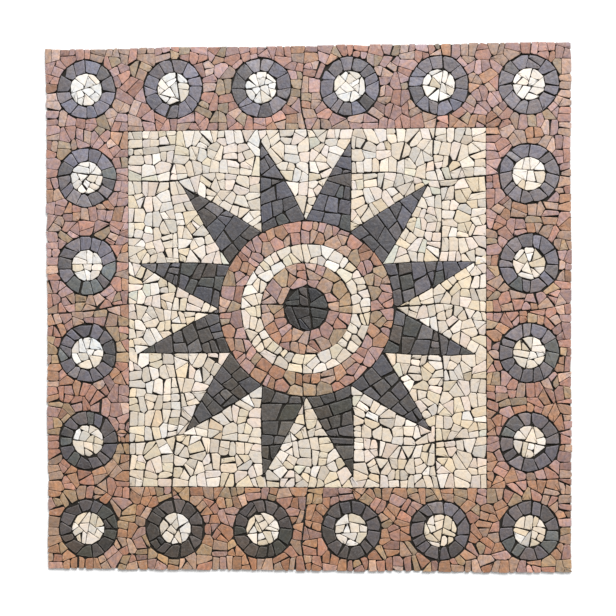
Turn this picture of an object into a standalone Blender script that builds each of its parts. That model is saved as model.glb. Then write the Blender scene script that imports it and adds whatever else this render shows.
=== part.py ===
"""Mosaic floor panel: a twelve-rayed sun in a cream field, framed by a red border of ring-and-eye roundels.

The real thing is broken marble glued face up on glass-fibre nets, one net to each square mat, and the
mats are laid edge to edge. Here it lies face up, +Z up, with its origin in the middle of its underside.
Metres throughout. Each group of stones is one solid: its stones stand on the film of glue that beds
them, with a joint open between them down to that film.
"""

import math

import bmesh
import bpy

# The panel and its mats
PANEL_SIDE = 1.200
MATS_PER_SIDE = 4
BORDER_WIDTH = 0.192

# The roundels in the border
ROUNDEL_MARGIN = 0.0275         # field left between a ring and either edge of the border
ROUNDEL_GAP = 0.060             # least field left between two rings
ROUNDEL_EYE_RADIUS = 0.0355     # the cream eye in a ring
RING_STONES = 12                # a joint faces each way in which a seam can cross the ring
EYE_SIDES = 8

# The sun, from its centre out
SUN_CENTRE_RADIUS = 0.051
INNER_BAND_WIDTH = 0.054
CREAM_BAND_WIDTH = 0.046
OUTER_BAND_WIDTH = 0.052
RAY_COUNT = 12
RAY_TIP_MARGIN = 0.024          # cream left between a ray's tip and the border
SUN_CENTRE_STONES = 6
INNER_BAND_ROWS = 1
INNER_BAND_STONES = 12          # in each row of the band
CREAM_BAND_ROWS = 2
CREAM_BAND_STONES = 20
OUTER_BAND_ROWS = 2
OUTER_BAND_STONES = 24
RAY_ROWS = (2, 2, 2, 1)         # stones in each row, from the foot, below the one at the tip
RAY_TIP_STONE_LENGTH = 0.046

# The build-up, from the underside
NET_THICKNESS = 0.0008
NET_SETBACK = 0.002             # the net stops short of the outermost stones
NET_CUT_WIDTH = 0.0012          # between the nets of two mats
NET_TOUCH_LENGTH = 0.012        # where two mats' nets touch, at each corner of a mat
GLUE_FILM = 0.0012
STONE_THICKNESS = 0.008         # with the film of glue under it
JOINT = 0.0022                  # between two stones, at their faces
GAP = 0.0003                    # between two solids that touch

# Worked out from the sizes above
FIELD_HALF = PANEL_SIDE / 2 - BORDER_WIDTH
STONE_FOOT = NET_THICKNESS + GAP
STONE_FACE = STONE_FOOT + STONE_THICKNESS
INNER_BAND_RADIUS = SUN_CENTRE_RADIUS + INNER_BAND_WIDTH
CREAM_BAND_RADIUS = INNER_BAND_RADIUS + CREAM_BAND_WIDTH
SUN_RADIUS = CREAM_BAND_RADIUS + OUTER_BAND_WIDTH
RAY_HALF_TURN = math.pi / RAY_COUNT
RAY_TIP_RADIUS = (FIELD_HALF - RAY_TIP_MARGIN) / math.cos(RAY_HALF_TURN)
ROUNDEL_RADIUS = BORDER_WIDTH / 2 - ROUNDEL_MARGIN
ROUNDEL_LINE = PANEL_SIDE / 2 - BORDER_WIDTH / 2
ROUNDEL_STEPS = max(1, math.floor(2 * ROUNDEL_LINE / (2 * ROUNDEL_RADIUS + ROUNDEL_GAP)))
MAT_SIDE = PANEL_SIDE / MATS_PER_SIDE


def clear_scene():
    for obj in list(bpy.data.objects):
        bpy.data.objects.remove(obj, do_unlink=True)


def stone_material(name, colour, roughness):
    material = bpy.data.materials.new(name)
    material.use_nodes = True
    shader = material.node_tree.nodes["Principled BSDF"]
    shader.inputs["Base Color"].default_value = (*colour, 1.0)
    shader.inputs["Roughness"].default_value = roughness
    shader.inputs["Metallic"].default_value = 0.0
    return material


def polar(radius, angle):
    return (radius * math.cos(angle), radius * math.sin(angle))


def place(name, mesh, material, location=(0.0, 0.0, 0.0), turn=0.0):
    """One named sub-part. Copies of a repeated piece share their mesh."""
    obj = bpy.data.objects.new(name, mesh)
    if not mesh.materials:
        mesh.materials.append(material)
    obj.location = location
    obj.rotation_euler = (0.0, 0.0, turn)
    bpy.context.scene.collection.objects.link(obj)
    return obj


def with_neighbours_corners(cells):
    """Adds to each cell's outline the corners of other cells that lie on it, so that neighbours share edges."""
    nearness = 1e-7
    corners = {(round(x, 9), round(y, 9)) for cell in cells for x, y in cell}
    full = []
    for cell in cells:
        outline = []
        for (ax, ay), (bx, by) in zip(cell, cell[1:] + cell[:1]):
            length = math.hypot(bx - ax, by - ay)
            along = ((bx - ax) / length, (by - ay) / length)
            between = []
            for x, y in corners:
                run = (x - ax) * along[0] + (y - ay) * along[1]
                aside = abs((x - ax) * along[1] - (y - ay) * along[0])
                if aside < nearness and nearness < run < length - nearness:
                    between.append((run, (x, y)))
            outline.append((ax, ay))
            outline += [point for _, point in sorted(between)]
        full.append(outline)
    return full


def bedded_stones(name, cells):
    """Stones that share one film of glue. Each cell is a stone's foot, and its face is smaller by half a joint."""
    bm = bmesh.new()
    shared = {}
    feet = []
    for cell in with_neighbours_corners(cells):
        corners = []
        for x, y in cell:
            key = (round(x, 7), round(y, 7))
            if key not in shared:
                shared[key] = bm.verts.new((x, y, STONE_FOOT))
            corners.append(shared[key])
        feet.append(bm.faces.new(corners))
    raised = bmesh.ops.extrude_face_region(bm, geom=feet)["geom"]
    film_top = [item for item in raised if isinstance(item, bmesh.types.BMVert)]
    bmesh.ops.translate(bm, verts=film_top, vec=(0.0, 0.0, GLUE_FILM))
    bmesh.ops.recalc_face_normals(bm, faces=bm.faces)
    faces = [item for item in raised if isinstance(item, bmesh.types.BMFace)]
    bmesh.ops.inset_individual(
        bm, faces=faces, thickness=JOINT / 2, depth=STONE_THICKNESS - GLUE_FILM, use_even_offset=True
    )
    mesh = bpy.data.meshes.new(name)
    bm.to_mesh(mesh)
    bm.free()
    return mesh


def arc(radius, start, end, steps):
    """Points on a circle from one angle to another, both ends included."""
    return [polar(radius, start + (end - start) * k / steps) for k in range(steps + 1)]


def band_cells(inner, outer, rows, count):
    """Courses of stones round a circle, each shifted half a stone from the last. It stays between its radii."""
    step = 2 * math.pi / count
    inner_corner = (inner + GAP / 2) / math.cos(step / 2)
    outer_corner = outer - GAP / 2
    cells = []
    for row in range(rows):
        near = inner_corner + (outer_corner - inner_corner) * row / rows
        far = inner_corner + (outer_corner - inner_corner) * (row + 1) / rows
        shift = step / 2 * (row % 2)
        for k in range(count):
            start = k * step + shift
            end = start + step
            near_side = arc(near, start, end, 1 if row == 0 else 2)
            far_side = arc(far, start, end, 1 if row == rows - 1 else 2)
            cells.append(near_side + far_side[::-1])
    return cells


def wedge_cells(radius, count):
    """Stones that meet in the middle of a disc."""
    rim = radius - GAP / 2
    turn = 2 * math.pi / count
    middles = [polar(rim, (k + 0.5) * turn) for k in range(count)]
    corners = [polar(rim, k * turn) for k in range(count)]
    return [[(0.0, 0.0), corners[k], middles[k], corners[(k + 1) % count]] for k in range(count)]


def ray_sides():
    """Half the angle at a ray's tip, from its foot's corners on the sun's rim and its tip."""
    foot_along, foot_aside = polar(SUN_RADIUS, RAY_HALF_TURN)
    return math.atan2(foot_aside, RAY_TIP_RADIUS - foot_along)


def ray_foot(half_angle, tip):
    """The ray's foot: straight cuts that touch the sun's rim, one for each stone, ending on the ray's sides."""
    rim = SUN_RADIUS + GAP / 2
    count = RAY_ROWS[0]
    step = 2 * RAY_HALF_TURN / count
    last_cut = RAY_HALF_TURN - step / 2
    slope = math.tan(half_angle)
    along = (rim - tip * slope * math.sin(last_cut)) / (math.cos(last_cut) - slope * math.sin(last_cut))
    corner = (along, (tip - along) * slope)
    inside = [polar(rim / math.cos(step / 2), k * step - RAY_HALF_TURN) for k in range(1, count)]
    return [(corner[0], -corner[1]), *inside, corner]


def ray_cells():
    """A ray along +X: a pointed stone at its tip, and rows that widen towards its foot."""
    half_angle = ray_sides()
    tip = RAY_TIP_RADIUS - GAP / 2 / math.sin(half_angle)
    foot = ray_foot(half_angle, tip)
    tip_foot = max(tip - RAY_TIP_STONE_LENGTH, (foot[0][0] + 3 * tip) / 4)
    courses = [foot]
    for row in range(1, len(RAY_ROWS) + 1):
        along = foot[0][0] + (tip_foot - foot[0][0]) * row / len(RAY_ROWS)
        half_width = (tip - along) * math.tan(half_angle)
        count = RAY_ROWS[min(row, len(RAY_ROWS) - 1)]
        courses.append([(along, half_width * (2 * k / count - 1)) for k in range(count + 1)])
    cells = [[courses[-1][0], (tip, 0.0), courses[-1][-1]]]
    for count, near, far in zip(RAY_ROWS, courses, courses[1:]):
        (far_along, far_side), (_, other_side) = far[0], far[-1]
        tops = [(far_along, far_side + (other_side - far_side) * k / count) for k in range(count + 1)]
        cells += [[near[k], tops[k], tops[k + 1], near[k + 1]] for k in range(count)]
    return cells


def star_outline():
    """The edge of the cream field round the rays: a corner past each tip, and one between each two feet."""
    half_angle = ray_sides()
    tip = RAY_TIP_RADIUS + GAP / 2 / math.sin(half_angle)
    valley_along = tip * math.tan(half_angle) / (math.tan(RAY_HALF_TURN) + math.tan(half_angle))
    valley = valley_along / math.cos(RAY_HALF_TURN)
    outline = []
    for k in range(RAY_COUNT):
        axis = (2 * k + 1) * RAY_HALF_TURN
        outline += [polar(tip, axis), polar(valley, axis + RAY_HALF_TURN)]
    return outline


def rectangle(low_x, low_y, high_x, high_y):
    return [(low_x, low_y), (high_x, low_y), (high_x, high_y), (low_x, high_y)]


def square(half):
    return rectangle(-half, -half, half, half)


def prisms(name, outlines, low, high):
    """Upright prisms that don't meet, one on each outline."""
    bm = bmesh.new()
    for outline in outlines:
        foot = bm.faces.new([bm.verts.new((x, y, low)) for x, y in outline])
        raised = bmesh.ops.extrude_face_region(bm, geom=[foot])["geom"]
        top = [item for item in raised if isinstance(item, bmesh.types.BMVert)]
        bmesh.ops.translate(bm, verts=top, vec=(0.0, 0.0, high - low))
    bmesh.ops.recalc_face_normals(bm, faces=bm.faces)
    mesh = bpy.data.meshes.new(name)
    bm.to_mesh(mesh)
    bm.free()
    return mesh


def hidden_cutter(name, outlines, low, high):
    cutter = bpy.data.objects.new(name, prisms(name, outlines, low, high))
    cutter.hide_render = True
    cutter.display_type = "WIRE"
    bpy.context.scene.collection.objects.link(cutter)
    return cutter


def cut(obj, cutter):
    boolean = obj.modifiers.new(cutter.name, "BOOLEAN")
    boolean.operation = "DIFFERENCE"
    boolean.solver = "EXACT"
    boolean.object = cutter


def seam_lines():
    """Where two mats meet, measured from the panel's middle."""
    return [(k - MATS_PER_SIDE / 2) * MAT_SIDE for k in range(1, MATS_PER_SIDE)]


def seam_cutters():
    """The joints between mats, cut into the fields down to the film of glue."""
    reach = PANEL_SIDE
    half = JOINT / 2
    across = [rectangle(seam - half, -reach, seam + half, reach) for seam in seam_lines()]
    along = [rectangle(-reach, seam - half, reach, seam + half) for seam in seam_lines()]
    low, high = STONE_FOOT + GLUE_FILM, STONE_FACE + GLUE_FILM
    return [hidden_cutter("seams_across", across, low, high), hidden_cutter("seams_along", along, low, high)]


def roundel_centres():
    """Clockwise from the corner at -X and +Y, one at each step round the middle of the border."""
    step = 2 * ROUNDEL_LINE / ROUNDEL_STEPS
    centres = []
    for side in range(4):
        for k in range(ROUNDEL_STEPS):
            x, y = -ROUNDEL_LINE + k * step, ROUNDEL_LINE
            for _ in range(side):
                x, y = y, -x
            centres.append((x, y))
    return centres


def make_fields(red, cream):
    rim_corner = (ROUNDEL_RADIUS + GAP / 2) / math.cos(math.pi / RING_STONES)
    rim = [polar(rim_corner, 2 * math.pi * k / RING_STONES) for k in range(RING_STONES)]
    rims = [[(cx + x, cy + y) for x, y in rim] for cx, cy in roundel_centres()]
    low, high = STONE_FOOT - STONE_THICKNESS, STONE_FACE + STONE_THICKNESS
    seams = seam_cutters()
    border_cutters = [
        hidden_cutter("middle_opening", [square(FIELD_HALF + GAP / 2)], low, high),
        hidden_cutter("roundel_openings", rims, low, high),
        *seams,
    ]
    middle_cutters = [hidden_cutter("star_opening", [star_outline()], low, high), *seams]
    for name, half, material, cutters in (
        ("border_field", PANEL_SIDE / 2, red, border_cutters),
        ("cream_field", FIELD_HALF - GAP / 2, cream, middle_cutters),
    ):
        field = place(name, prisms(name, [square(half)], STONE_FOOT, STONE_FACE), material)
        for cutter in cutters:
            cut(field, cutter)


def make_roundels(dark, cream):
    ring = bedded_stones("roundel_ring", band_cells(ROUNDEL_EYE_RADIUS, ROUNDEL_RADIUS, 1, RING_STONES))
    eye_corner = ROUNDEL_EYE_RADIUS - GAP / 2
    eye_outline = [polar(eye_corner, 2 * math.pi * k / EYE_SIDES) for k in range(EYE_SIDES)]
    eye = prisms("roundel_eye", [eye_outline], STONE_FOOT, STONE_FACE)
    for number, (x, y) in enumerate(roundel_centres(), 1):
        place(f"roundel_ring_{number:02d}", ring, dark, (x, y, 0.0))
        place(f"roundel_eye_{number:02d}", eye, cream, (x, y, 0.0))


def make_sun(red, cream, dark):
    inner = band_cells(SUN_CENTRE_RADIUS, INNER_BAND_RADIUS, INNER_BAND_ROWS, INNER_BAND_STONES)
    middle = band_cells(INNER_BAND_RADIUS, CREAM_BAND_RADIUS, CREAM_BAND_ROWS, CREAM_BAND_STONES)
    outer = band_cells(CREAM_BAND_RADIUS, SUN_RADIUS, OUTER_BAND_ROWS, OUTER_BAND_STONES)
    bands = (
        ("sun_centre", wedge_cells(SUN_CENTRE_RADIUS, SUN_CENTRE_STONES), dark),
        ("sun_inner_band", inner, red),
        ("sun_cream_band", middle, cream),
        ("sun_outer_band", outer, red),
    )
    for name, cells, material in bands:
        place(name, bedded_stones(name, cells), material)
    ray = bedded_stones("sun_ray", ray_cells())
    for k in range(RAY_COUNT):
        clockwise_from_top = math.pi / 2 - (2 * k + 1) * RAY_HALF_TURN
        place(f"sun_ray_{k + 1:02d}", ray, dark, turn=clockwise_from_top)


def make_net(fibre):
    """The mats' nets, which touch at their corners, as one sheet cut along the seams."""
    outline = square(PANEL_SIDE / 2 - NET_SETBACK)
    net = place("backing_net", prisms("backing_net", [outline], 0.0, NET_THICKNESS), fibre)
    run = MAT_SIDE / 2 - NET_TOUCH_LENGTH / 2
    aside = NET_CUT_WIDTH / 2
    middles = [(k + 0.5 - MATS_PER_SIDE / 2) * MAT_SIDE for k in range(MATS_PER_SIDE)]
    cuts = [(seam, middle) for seam in seam_lines() for middle in middles]
    across = [rectangle(seam - aside, middle - run, seam + aside, middle + run) for seam, middle in cuts]
    along = [rectangle(middle - run, seam - aside, middle + run, seam + aside) for seam, middle in cuts]
    cut(net, hidden_cutter("net_cuts", across + along, -NET_THICKNESS, 2 * NET_THICKNESS))


clear_scene()
red_marble = stone_material("red_marble", (0.46, 0.26, 0.19), 0.72)
cream_marble = stone_material("cream_marble", (0.80, 0.74, 0.62), 0.62)
dark_marble = stone_material("dark_marble", (0.10, 0.10, 0.11), 0.60)
glass_fibre = stone_material("glass_fibre", (0.82, 0.82, 0.78), 0.80)
make_fields(red_marble, cream_marble)
make_roundels(dark_marble, cream_marble)
make_sun(red_marble, cream_marble, dark_marble)
make_net(glass_fibre)
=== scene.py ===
"""A square mosaic of broken marble on glass-fibre nets: a sun with twelve rays in a cream field, framed by a
red border of dark rings with cream eyes. It lies face up on a pale floor and the camera looks down on it.
"""

import math
import random

import bpy
from mathutils import Matrix, Vector, kdtree


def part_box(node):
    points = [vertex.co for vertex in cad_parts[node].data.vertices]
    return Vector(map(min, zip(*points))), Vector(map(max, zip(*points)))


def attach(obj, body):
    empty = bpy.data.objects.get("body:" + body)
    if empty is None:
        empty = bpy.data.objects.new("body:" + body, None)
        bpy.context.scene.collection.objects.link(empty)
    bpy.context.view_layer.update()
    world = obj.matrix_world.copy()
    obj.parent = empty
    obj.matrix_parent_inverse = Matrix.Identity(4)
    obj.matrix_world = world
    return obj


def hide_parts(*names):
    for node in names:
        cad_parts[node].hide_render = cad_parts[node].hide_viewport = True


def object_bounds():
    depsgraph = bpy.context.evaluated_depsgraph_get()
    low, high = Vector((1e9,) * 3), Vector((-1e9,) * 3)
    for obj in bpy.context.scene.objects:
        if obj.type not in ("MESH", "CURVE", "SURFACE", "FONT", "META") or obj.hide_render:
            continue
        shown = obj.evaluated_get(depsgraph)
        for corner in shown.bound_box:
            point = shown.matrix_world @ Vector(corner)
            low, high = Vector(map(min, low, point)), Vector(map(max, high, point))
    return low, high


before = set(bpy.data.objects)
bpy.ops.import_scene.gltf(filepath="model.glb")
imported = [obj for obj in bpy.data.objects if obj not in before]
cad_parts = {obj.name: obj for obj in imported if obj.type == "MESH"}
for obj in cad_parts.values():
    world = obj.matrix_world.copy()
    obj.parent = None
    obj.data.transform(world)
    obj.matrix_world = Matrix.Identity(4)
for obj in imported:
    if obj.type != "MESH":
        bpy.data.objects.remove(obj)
solids_low, solids_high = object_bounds()
mm = 0.001


# The nets.
# Each mat's stones are held by a square net of glass-fibre threads, woven open and stiff with dry glue.
# Sixteen of them lie edge to edge, and nothing else joins the mats.

MATS_PER_SIDE = 4
THREAD_PITCH = 5.2 * mm
THREAD_HALF_WIDTH = 0.45 * mm
THREAD_FOOT = 0.02 * mm             # the underside of the lower threads
THREAD_SINK = 0.05 * mm             # how far the upper threads are pressed into the lower ones
THREAD_WAVER = 0.35 * mm
THREAD_BENDS = 5
NET_EDGE_PULL = 1.2 * mm            # how far a net stops short of its mat's edge
NET_WHITE = (0.78, 0.77, 0.72)
DRY_GLUE = (0.66, 0.63, 0.55)

net_low, net_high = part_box("backing_net")
mat_side = (solids_high.x - solids_low.x) / MATS_PER_SIDE


def titled(name):
    """A value's name as its socket shows it."""
    return name.replace("_", " ").title()


def effect(name, **inputs):
    """A shader node group that several finishes share, with a socket for each value that they set."""
    group = bpy.data.node_groups.new(name, "ShaderNodeTree")
    for socket, value in inputs.items():
        kind = "Float" if isinstance(value, float) else {3: "Vector", 4: "Color"}[len(value)]
        made = group.interface.new_socket(titled(socket), in_out="INPUT", socket_type=f"NodeSocket{kind}")
        made.default_value = value
    for socket, kind in (("Colour", "Color"), ("Roughness", "Float"), ("Height", "Float")):
        group.interface.new_socket(socket, in_out="OUTPUT", socket_type=f"NodeSocket{kind}")
    return group, group.nodes.new("NodeGroupInput").outputs, group.nodes.new("NodeGroupOutput").inputs


def wire(tree, value, socket):
    """Sets a socket: from another socket, or to a plain value."""
    if isinstance(value, bpy.types.NodeSocket):
        tree.links.new(value, socket)
    else:
        socket.default_value = value


def arithmetic(tree, operation, first, second=0.0, third=0.0, clamp=False):
    node = tree.nodes.new("ShaderNodeMath")
    node.operation = operation
    node.use_clamp = clamp
    for value, socket in zip((first, second, third), node.inputs):
        wire(tree, value, socket)
    return node.outputs[0]


def product(tree, first, second):
    return arithmetic(tree, "MULTIPLY", first, second)


def cloud(tree, place, scale, detail=3.0, distortion=0.0):
    node = tree.nodes.new("ShaderNodeTexNoise")
    wire(tree, place, node.inputs["Vector"])
    node.inputs["Scale"].default_value = scale
    node.inputs["Detail"].default_value = detail
    node.inputs["Distortion"].default_value = distortion
    return node.outputs["Fac"]


def spread(tree, value, low, high, to_low=0.0, to_high=1.0):
    """Stretches the part of a mask between two values over a new range."""
    node = tree.nodes.new("ShaderNodeMapRange")
    node.interpolation_type = "SMOOTHSTEP"
    for part, socket in zip((value, low, high, to_low, to_high), node.inputs):
        wire(tree, part, socket)
    return node.outputs["Result"]


def blended(tree, share, under, over, kind="MIX"):
    node = tree.nodes.new("ShaderNodeMix")
    node.data_type = "RGBA"
    node.blend_type = kind
    wire(tree, share, node.inputs["Factor"])
    wire(tree, under, node.inputs[6])
    wire(tree, over, node.inputs[7])
    return node.outputs[2]


def scaled_colour(tree, colour, amount):
    node = tree.nodes.new("ShaderNodeVectorMath")
    node.operation = "SCALE"
    wire(tree, colour, node.inputs[0])
    wire(tree, amount, node.inputs["Scale"])
    return node.outputs["Vector"]


def finish(name):
    """A new material, the tree to add nodes to and the inputs of its shader."""
    material = bpy.data.materials.new(name)
    material.use_nodes = True
    return material, material.node_tree, material.node_tree.nodes["Principled BSDF"].inputs


def raised(tree, height, depth, strength=1.0):
    node = tree.nodes.new("ShaderNodeBump")
    node.inputs["Strength"].default_value = strength
    node.inputs["Distance"].default_value = depth
    wire(tree, height, node.inputs["Height"])
    return node.outputs["Normal"]


def with_effect(tree, inputs, group, depth, **settings):
    """Colours, dulls and raises a finish by a shared effect, with this finish's own values."""
    node = tree.nodes.new("ShaderNodeGroup")
    node.node_tree = group
    for name, value in settings.items():
        wire(tree, value, node.inputs[titled(name)])
    wire(tree, node.outputs["Colour"], inputs["Base Color"])
    wire(tree, node.outputs["Roughness"], inputs["Roughness"])
    wire(tree, raised(tree, node.outputs["Height"], depth), inputs["Normal"])


def object_place(tree):
    return tree.nodes.new("ShaderNodeTexCoord").outputs["Object"]


# Dried glue: where it lies thick it is smooth and yellowish, and elsewhere dull.
smears, given, taken = effect(
    "dried glue smears",
    place=(0.0, 0.0, 0.0), under=(0.5, 0.5, 0.5, 1.0), glue=(*DRY_GLUE, 1.0), cover=0.5,
)
patches = cloud(smears, given["Place"], 95.0, 4.0, 0.6)
threshold = arithmetic(smears, "SUBTRACT", 0.95, given["Cover"])
thick = spread(smears, patches, arithmetic(smears, "SUBTRACT", threshold, 0.12), threshold)
ripples = cloud(smears, given["Place"], 900.0, 2.0)
tinted = blended(smears, thick, given["Under"], given["Glue"])
wire(smears, scaled_colour(smears, tinted, spread(smears, ripples, 0.2, 0.8, 0.82, 1.1)), taken["Colour"])
wire(smears, spread(smears, thick, 0.0, 1.0, 0.75, 0.42), taken["Roughness"])
wire(smears, arithmetic(smears, "MULTIPLY_ADD", ripples, 0.4, thick), taken["Height"])

net_finish, tree, inputs = finish("glass fibre net")
strands = cloud(tree, object_place(tree), 1500.0, 2.0)
fibre = scaled_colour(tree, NET_WHITE, spread(tree, strands, 0.25, 0.75, 0.78, 1.08))
with_effect(tree, inputs, smears, 0.2 * mm, place=object_place(tree), under=fibre, cover=0.42)


def new_piece(name, verts, faces, finishes):
    """A mesh piece that belongs to the panel's one body."""
    mesh = bpy.data.meshes.new(name)
    mesh.from_pydata(verts, [], faces)
    for finish_used in finishes:
        mesh.materials.append(finish_used)
    piece = bpy.data.objects.new(name, mesh)
    bpy.context.scene.collection.objects.link(piece)
    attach(piece, "root")
    return piece


def left_of(way):
    """A direction turned a quarter to its left."""
    return Vector((-way.y, way.x))


def add_thread(verts, faces, start, end, low, high, rng):
    """A flat thread from end to end of a net, wavering a little between."""
    aside = left_of(end - start).normalized()
    for k in range(THREAD_BENDS + 1):
        stray = rng.uniform(-THREAD_WAVER, THREAD_WAVER)
        middle = start.lerp(end, k / THREAD_BENDS) + aside * stray
        first = len(verts)
        for side, z in ((-1, low), (1, low), (1, high), (-1, high)):
            edge = middle + aside * side * THREAD_HALF_WIDTH
            verts.append((edge.x, edge.y, z))
        if k:
            for c in range(4):
                d = (c + 1) % 4
                faces.append((first - 4 + c, first - 4 + d, first + d, first + c))
        if k in (0, THREAD_BENDS):
            corners = (first, first + 1, first + 2, first + 3)
            faces.append(corners[::-1] if k else corners)


half_way = net_high.z / 2
for row in range(MATS_PER_SIDE):
    for column in range(MATS_PER_SIDE):
        rng = random.Random(100 + MATS_PER_SIDE * row + column)
        verts, faces = [], []
        left, near = solids_low.x + column * mat_side, solids_low.y + row * mat_side
        edge = NET_EDGE_PULL
        if column in (0, MATS_PER_SIDE - 1) or row in (0, MATS_PER_SIDE - 1):
            edge = max(NET_EDGE_PULL, net_low.x - solids_low.x)
        far_edge = mat_side - edge
        span = mat_side - 2 * edge
        threads = round(span / THREAD_PITCH)
        nearest_at = edge + THREAD_WAVER + THREAD_HALF_WIDTH
        farthest_at = far_edge - THREAD_WAVER - THREAD_HALF_WIDTH
        for k in range(threads + 1):
            at = edge + THREAD_HALF_WIDTH + (span - 2 * THREAD_HALF_WIDTH) * k / threads
            at = min(max(at, nearest_at), farthest_at)
            start, end = Vector((left + at, near + edge)), Vector((left + at, near + far_edge))
            add_thread(verts, faces, start, end, THREAD_FOOT, half_way, rng)
            start, end = Vector((left + edge, near + at)), Vector((left + far_edge, near + at))
            add_thread(verts, faces, start, end, half_way - THREAD_SINK, net_high.z, rng)
        net = new_piece(f"net_{row + 1}_{column + 1}", verts, faces, [net_finish])
        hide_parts("backing_net")


# The glue.
# A film of glue beds the stones of a mat on its net. From above it is the dark floor of the joints, and
# from below it fills the net between the backs of the stones.

FILM_LOW = 1.5 * mm
FILM_HIGH = 2.2 * mm
FILM_STEP = 10 * mm
FILM_SEAM = 0.12 * mm               # how far the film stops short of a seam
FILM_RIM = 4.2 * mm                 # and of the panel's edge
# Painted shade: the film's near-black browns stand for the dark at the bottom of the deep, narrow joints.
FILM_SHADE_BROWN = (0.013, 0.011, 0.009)
FILM_GLUE_IN_SHADE = (0.055, 0.047, 0.037)
SEAM_WANDER = 12 * mm               # how far a seam between hand-laid mats strays from straight
SEAM_WAVES = [(0.82, 0.054, 1.0), (0.18, 0.023, 2.1)]   # the share, stretch and shift of each
SEAM_SHIFTS = (-0.64, 2.4)          # of the first seam, and of each seam from the one before


def seam_wander(seam, along):
    """How far a seam strays at a place along it, and how steeply."""
    shift = SEAM_SHIFTS[0] + SEAM_SHIFTS[1] * seam
    bend, slope = 0.0, 0.0
    for share, stretch, shifted in SEAM_WAVES:
        bend += share * math.sin(along / stretch + shifted * shift)
        slope += share / stretch * math.cos(along / stretch + shifted * shift)
    return SEAM_WANDER * bend, SEAM_WANDER * slope


seams = []                          # each seam's number, the axis that it crosses and its place on it
for axis in (0, 1):
    for k in range(1, MATS_PER_SIDE):
        seams.append((len(seams), axis, solids_low[axis] + k * mat_side))


def seam_side(seam, place):
    """Which side of a seam a place is on, a point of the seam beside it and the direction across."""
    number, axis, straight = seam
    stray, slope = seam_wander(number, place[1 - axis])
    on_seam, across = Vector((0.0, 0.0)), Vector((0.0, 0.0))
    on_seam[axis] = straight + stray
    on_seam[1 - axis] = place[1 - axis]
    across[axis] = 1.0
    across[1 - axis] = -slope
    across.normalize()
    side = 1 if (place - on_seam).dot(across) > 0 else -1
    return side, on_seam, across


def mat_of(place):
    """The sides of all the seams that a place is on, which are the same all over a mat."""
    return tuple(seam_side(seam, place)[0] for seam in seams)


def film_shift(axis, line, along, inward):
    """How far the film's edge is from a line of the mats' grid, along an axis."""
    if line in (0, MATS_PER_SIDE):
        return inward * FILM_RIM
    return seam_wander((MATS_PER_SIDE - 1) * axis + line - 1, along)[0] + inward * FILM_SEAM


# Painted shade: the film is near black in patches of two dark browns, with a few smears of dried glue over
# it.
film_finish, tree, inputs = finish("glue in the joints")
shade_patches = cloud(tree, object_place(tree), 220.0, 4.0)
grime = blended(tree, shade_patches, (*FILM_SHADE_BROWN, 1.0), (*FILM_GLUE_IN_SHADE, 1.0))
darker_joint_shade = scaled_colour(tree, grime, 0.7)
with_effect(tree, inputs, smears, 0.3 * mm, place=object_place(tree), under=darker_joint_shade, cover=0.12)
inputs["Specular IOR Level"].default_value = 0.2

steps = round(mat_side / FILM_STEP)
around_mat = [(k / steps, 0.0) for k in range(steps)] + [(1.0, k / steps) for k in range(steps)]
around_mat += [(1 - across, 1 - up) for across, up in around_mat]

for row in range(MATS_PER_SIDE):
    for column in range(MATS_PER_SIDE):
        edge = []
        for across, up in around_mat:
            x = solids_low.x + (column + across) * mat_side
            y = solids_low.y + (row + up) * mat_side
            left, right = film_shift(0, column, y, 1), film_shift(0, column + 1, y, -1)
            near, far = film_shift(1, row, x, 1), film_shift(1, row + 1, x, -1)
            edge.append((x + left + (right - left) * across, y + near + (far - near) * up))
        count = len(edge)
        verts = [(x, y, z) for z in (FILM_LOW, FILM_HIGH) for x, y in edge]
        faces = [tuple(range(count))[::-1], tuple(range(count, 2 * count))]
        faces += [(k, (k + 1) % count, count + (k + 1) % count, count + k) for k in range(count)]
        new_piece(f"glue_{row + 1}_{column + 1}", verts, faces, [film_finish])


# The red border.
# Its field is crazed with stones of red and brown marble, knocked from split strips with a hammer, fitted
# by eye and glued face up. Along an edge of the pattern each stone is laid with a straight side to it.

STONE_AREA = 620 * mm * mm          # of a stone and its share of the joints
STONE_AREA_VARIES = (0.85, 1.65)
SMALLEST_STONE = 30 * mm * mm
GRAIN = 0.15 * mm                   # corners that are closer than this are one
BLOCK_SPACING = 36 * mm             # of the places that stones are broken and fitted round
BLOCK_REACH = 1.4 * BLOCK_SPACING
BLOCK_SLACK = 2.5 * mm              # left on a block, beyond the line that its stones are trimmed to
SCATTER = 0.45                      # how far a block's place may lie off an even row, in spacings
SET_APART = 0.7 * BLOCK_SPACING     # of such a place from the ones that are set
NEIGHBOURS_WITHIN = 2.9 * BLOCK_SPACING
CUTS_WITHIN = 2 * BLOCK_SPACING     # a line of the pattern that is farther away cuts no stone
WAY_POINTS = (0.2, 0.4, 0.6, 0.8)   # open ground all the way makes two places neighbours
NEAR_BLOCKS = 9                     # that may cover a place
JOINT_ASIDE = 0.4                   # of a set place from the joint that it makes, in spacings
OPEN_FROM = 1 * mm                  # no stone's middle is nearer to an edge of the pattern
SETTLINGS = 4
BARE_STEP = 9 * mm                  # of the places where bare ground is looked for
BLOW_TURN = 0.22                    # how far from square across a block the hammer's blows fall
BLOW_ASIDE = 0.15                   # and how far from its middle, as a share of its width
SLANTING_SHARE = 0.2                # of the blows that fall well aslant
SLANTING_TURN = 0.65
JOINT_HALF = (0.06 * mm, 0.34 * mm)
JOINTS_OPEN = (1.65, 0.68)          # how many times as wide they are at the panel's bottom and at its top
SEAM_HALF = (0.1 * mm, 1.2 * mm)    # added to a joint that lies on a seam
SEAM_OPENS = 0.037                  # how quickly a seam opens and closes along its length
MISFIT_SHARE = 0.26                 # of the edges that lie askew to their neighbour
MISFIT_TURN = 0.080
MISFIT_MOST = 0.13
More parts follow.
